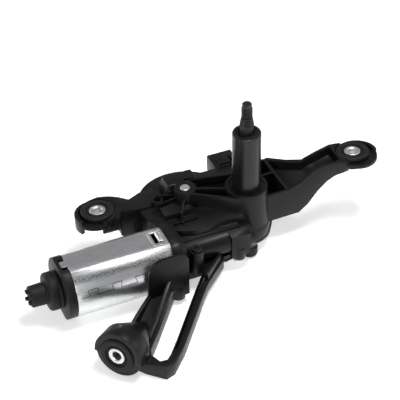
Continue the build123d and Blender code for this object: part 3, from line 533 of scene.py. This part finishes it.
def can_seam_shade():
    """The rolled can closes in a row of dovetails along its front; a black bead along them paints the
    shade in the seam's gap.
    """
    tooth_pitch, tooth_neck, tooth_head, tooth_height = 17.0, 5.0, 7.6, 4.6
    start, end = can_low.x / MM + 7.0, can_high.x / MM - 11.0
    level = 13.0    # degrees above the horizontal through the axis
    outline = [(start, 0.0)]
    x = start
    while x + tooth_pitch < end:
        left = x + (tooth_pitch - tooth_neck) / 2
        right = left + tooth_neck
        flare = (tooth_head - tooth_neck) / 2
        outline += [(left, 0.0), (left - flare, tooth_height)]
        outline += [(right + flare, tooth_height), (right, 0.0)]
        x += tooth_pitch
    outline.append((end, 0.0))
    line = []
    for (x0, s0), (x1, s1) in zip(outline, outline[1:]):
        steps = max(2, int(math.hypot(x1 - x0, s1 - s0) / 0.8))
        line += [(x0 + (x1 - x0) * i / steps, s0 + (s1 - s0) * i / steps) for i in range(steps)]
    line.append(outline[-1])
    centre = []
    r = can_r / MM
    for i, (x, s) in enumerate(line):
        angle = math.radians(level) + s / r
        out = Vector((0, -math.cos(angle), math.sin(angle)))
        round_way = Vector((0, math.sin(angle), math.cos(angle)))
        before, after = line[max(i - 1, 0)], line[min(i + 1, len(line) - 1)]
        run = Vector((after[0] - before[0], after[1] - before[1], 0)).normalized()
        side = Vector((-run.y, 0, 0)) + round_way * run.x
        place = Vector((x * MM, motor_axis.y, motor_axis.z)) + out * can_r
        centre.append((place, out, side))
    # The bead is black: painted shade of the seam's narrow gap, on a seam that is the can's own zinc.
    ribbon("can_seam_shade", centre, 0.00055, 0.00012, "rubber_black")


def window_rim():
    """Raised bead round the slot in the can's flat top, with the tab folded up beside it."""
    x0, x1, y0, y1, corner = -81.0, -71.4, -25.4, -10.6, 1.8
    top = can_high.z + 0.00020
    centre = []
    for cx, cy, start in ((x1, y1, 0), (x0, y1, 90), (x0, y0, 180), (x1, y0, 270)):
        sx = -corner if cx == x1 else corner
        sy = -corner if cy == y1 else corner
        for i in range(7):
            angle = math.radians(start + 15 * i)
            out = Vector((math.cos(angle), math.sin(angle), 0))
            place = Vector(((cx + sx) * MM, (cy + sy) * MM, top)) + out * corner * MM
            centre.append((place, Vector((0, 0, 1)), out))
    ribbon("can_window_bead", centre, 0.0013, 0.00055, "zinc_small", closed=True)
    lift = [(-72.6, -8.25), (-73.6, -7.9), (-75.0, -7.8), (-75.9, -8.2), (-76.4, -9.4)]
    centre = [
        (Vector((x * MM, motor_axis.y, z * MM)), Vector((0, 0, 1)), Vector((0, 1, 0))) for x, z in lift
    ]
    ribbon("can_window_tab", centre, 0.0102, 0.00025, "zinc_bright")


can_seam_shade()
window_rim()


# ---- fine moulded ribs on the roof ----------------------------------------------------------
def fin(name, start, end, width, foot, top, slot_name="moulded_black"):
    """Thin upright rib with a rounded crest between two plan points, in millimetres."""
    start, end = Vector((*start, 0)), Vector((*end, 0))
    run = (end - start).normalized()
    side = Vector((-run.y, run.x, 0))
    crest = width / 2
    section = [(-crest, foot), (-crest, top - crest * 0.6), (-crest * 0.5, top), (crest * 0.5, top),
               (crest, top - crest * 0.6), (crest, foot)]
    points = [(place + side * s + Vector((0, 0, z))) * MM for place in (start, end) for s, z in section]
    count = len(section)
    faces = [(i, i + count, (i + 1) % count + count, (i + 1) % count) for i in range(count)]
    faces += [tuple(range(count)), tuple(reversed(range(count, 2 * count)))]
    piece = add_mesh(name, points, faces, slot_name, "housing")
    face_outwards(piece)
    crisp(piece, 30)


def roof_ribs():
    """Cross ribs beside the wheel pin, ridges over the worm tunnel, a rib in the right arm's web and one
    on the shoulder.
    """
    fin("roof_rib_cross", (-58.5, -5.6), (-40.0, -5.6), 0.9, -13.6, -11.6)
    fin("roof_rib_lengthwise", (-51.5, -8.0), (-51.5, 2.6), 0.9, -13.6, -11.4)
    fin("tunnel_ridge_back", (-62.0, -10.8), (-16.0, -10.8), 1.0, -18.4, -17.3)
    fin("tunnel_ridge_front", (-58.0, -18.0), (-16.0, -18.0), 1.0, -19.4, -18.6)
    fin("right_arm_web_rib", (42.0, -6.9), (42.0, 13.6), 1.0, -11.6, -9.4, "arm_black")
    fin("roof_rib_shoulder", (-24.0, 26.0), (-2.0, 26.0), 1.0, -9.2, -7.8)


def switch_cover():
    """Moulded lid over the park switch: a block with rounded upper edges and sloping sides."""
    x0, x1, y0, y1, foot, top = -51.3, -26.6, 22.4, 37.0, -6.2, -2.0
    slope, corner, edge = 1.0, 1.6, 0.9
    levels = [(0.0, foot), (slope, top - edge)]
    levels += [(slope + edge * (1 - math.cos(a)), top - edge + edge * math.sin(a))
               for a in (math.pi / 6, math.pi / 3, math.pi / 2)]
    steps = 6
    points = []
    for inset, z in levels:
        r = max(corner - inset * 0.3, 0.4)
        left, right = x0 + inset + r, x1 - inset - r
        near, far = y0 + inset + r, y1 - inset - r
        for cx, cy, start in ((right, far, 0), (left, far, 90), (left, near, 180), (right, near, 270)):
            for i in range(steps + 1):
                a = math.radians(start + 90 * i / steps)
                points.append(Vector((cx + r * math.cos(a), cy + r * math.sin(a), z)) * MM)
    around = 4 * (steps + 1)
    faces = stacked(len(levels), around) + end_caps(len(levels), around)
    crisp(add_mesh("park_switch_lid", points, faces, "moulded_black", "housing"), 40)


roof_ribs()
switch_cover()


# ---- floor, light and camera ----------------------------------------------------------------
def white_where_seen(tree, lit, level):
    """Adds light to a stage surface for camera, mirror and glass rays only."""
    path = tree.nodes.new("ShaderNodeLightPath")
    seen = calculate(tree, "MAXIMUM", path.outputs["Is Camera Ray"], path.outputs["Is Glossy Ray"])
    seen = calculate(tree, "MAXIMUM", seen, path.outputs["Is Transmission Ray"])
    strength = tree.nodes.new("ShaderNodeMath")
    strength.operation = "MULTIPLY"
    strength.inputs[1].default_value = level
    tree.links.new(seen, strength.inputs[0])
    glow = tree.nodes.new("ShaderNodeEmission")
    glow.inputs["Color"].default_value = (1, 1, 1, 1)
    tree.links.new(strength.outputs["Value"], glow.inputs["Strength"])
    total = tree.nodes.new("ShaderNodeAddShader")
    tree.links.new(lit, total.inputs[0])
    tree.links.new(glow.outputs["Emission"], total.inputs[1])
    return total.outputs["Shader"]


def floor():
    half = 2.5
    z = cad_bounds[0][2] - 0.0002
    mesh = bpy.data.meshes.new("floor")
    corners = [(-half, -half, z), (half, -half, z), (half, half, z), (-half, half, z)]
    mesh.from_pydata(corners, [], [(0, 1, 2, 3)])
    obj = bpy.data.objects.new("floor", mesh)
    bpy.context.scene.collection.objects.link(obj)
    material, tree, shader = new_material("pale_floor")
    shader.inputs["Roughness"].default_value = 0.9
    shader.inputs["Specular IOR Level"].default_value = 0.1
    shade = noise(tree, coordinates(tree, (1, 1, 1)), 3.0)
    tree.links.new(ramp(tree, shade, [(0.3, (0.80, 0.80, 0.80)), (0.7, (0.82, 0.82, 0.82))]),
                   shader.inputs["Base Color"])
    output = tree.nodes["Material Output"]
    tree.links.new(white_where_seen(tree, shader.outputs["BSDF"], FLOOR_GLOW), output.inputs["Surface"])
    mesh.materials.append(material)


def sky():
    """Studio surround: bright round the horizon and darker overhead, with level colour."""
    world = bpy.data.worlds.new("studio")
    bpy.context.scene.world = world
    world.use_nodes = True
    tree = world.node_tree
    coords = tree.nodes.new("ShaderNodeTexCoord")
    split = tree.nodes.new("ShaderNodeSeparateXYZ")
    tree.links.new(coords.outputs["Generated"], split.inputs["Vector"])
    levels = [(0.0, (0.75, 0.75, 0.75)), (0.30, (0.8, 0.8, 0.8))]
    levels += [(0.62, (0.62, 0.62, 0.63)), (1.0, (0.42, 0.42, 0.43))]
    shade = ramp(tree, split.outputs["Z"], levels)
    background = tree.nodes["Background"]
    tree.links.new(shade, background.inputs["Color"])
    background.inputs["Strength"].default_value = 0.44


def lamp(name, place, aim, size, power):
    light = bpy.data.lights.new(name, "AREA")
    light.shape = "RECTANGLE"
    light.size, light.size_y = size
    light.energy = power
    obj = bpy.data.objects.new(name, light)
    obj.location = place
    obj.rotation_euler = (Vector(aim) - Vector(place)).to_track_quat("-Z", "Y").to_euler()
    bpy.context.scene.collection.objects.link(obj)


def camera():
    """Long lens from the front left, about 39 degrees above the floor."""
    right = Vector((0.9167, -0.3994, -0.0128)).normalized()
    back = Vector((-0.3034, -0.7165, 0.6281))
    back = (back - right * back.dot(right)).normalized()
    up = back.cross(right)
    turn = Matrix((right, up, back)).transposed().to_4x4()
    data = bpy.data.cameras.new("camera")
    data.lens = 126.1
    data.sensor_width = 36.0
    obj = bpy.data.objects.new("camera", data)
    obj.matrix_world = Matrix.Translation((-0.3338, -0.7039, 0.6150)) @ turn
    bpy.context.scene.collection.objects.link(obj)
    bpy.context.scene.camera = obj


floor()
sky()
lamp("overhead_box", (0.16, -0.10, 0.95), (-0.06, -0.02, 0.0), (0.34, 0.30), 7.5)
lamp("front_left_box", (-0.75, -0.95, 0.45), (-0.06, -0.02, 0.0), (0.35, 0.5), 5.0)
lamp("right_fill", (0.95, -0.35, 0.5), (0.0, 0.0, 0.0), (0.5, 0.5), 2.0)
lamp("back_rim", (-0.75, 0.75, 0.35), (0.0, 0.0, 0.0), (0.6, 0.3), 2.5)
camera()
bpy.context.scene.view_settings.view_transform = "Standard"
